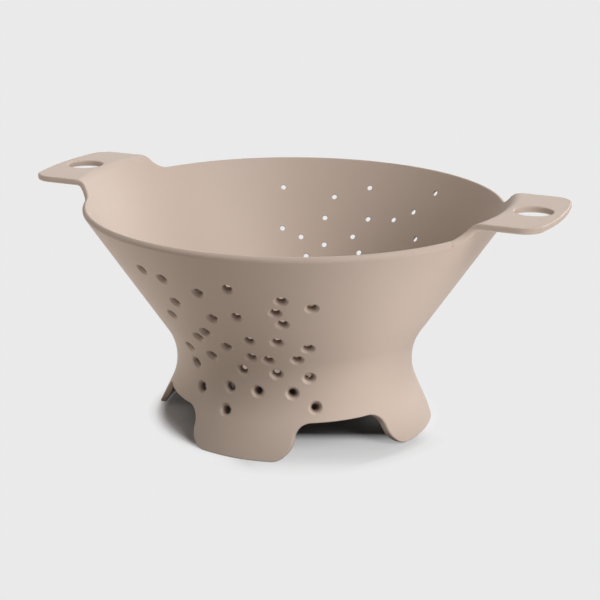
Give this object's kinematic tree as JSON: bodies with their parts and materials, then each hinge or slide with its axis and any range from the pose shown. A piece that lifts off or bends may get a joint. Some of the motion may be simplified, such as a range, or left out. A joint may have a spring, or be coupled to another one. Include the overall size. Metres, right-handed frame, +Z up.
{
  "type": "footed colander",
  "caption": "Footed colander: perforated conical bowl on a flared skirt with feet, a drain floor at the waist and two flat grips with finger holes.",
  "frame": {"origin": "middle of the footprint on the table, the bottom centre of the bounding box", "axes": "+Z up, +X along the line through both grips, -Y towards the front field of drain holes"},
  "size_m": [0.3216, 0.2498, 0.1403],
  "materials": {
    "bowl_plastic": "fine matt moulded plastic, warm taupe",
    "floor_plastic": "fine matt moulded plastic, warm taupe",
    "skirt_plastic": "fine matt moulded plastic, warm taupe",
    "grip_plastic": "fine matt moulded plastic, warm taupe"
  },
  "bodies": {
    "root": {"bowl": "bowl_plastic", "drain_floor": "floor_plastic", "foot_skirt": "skirt_plastic", "handle_right": "grip_plastic", "handle_left": "grip_plastic"}
  },
  "joints": []
}
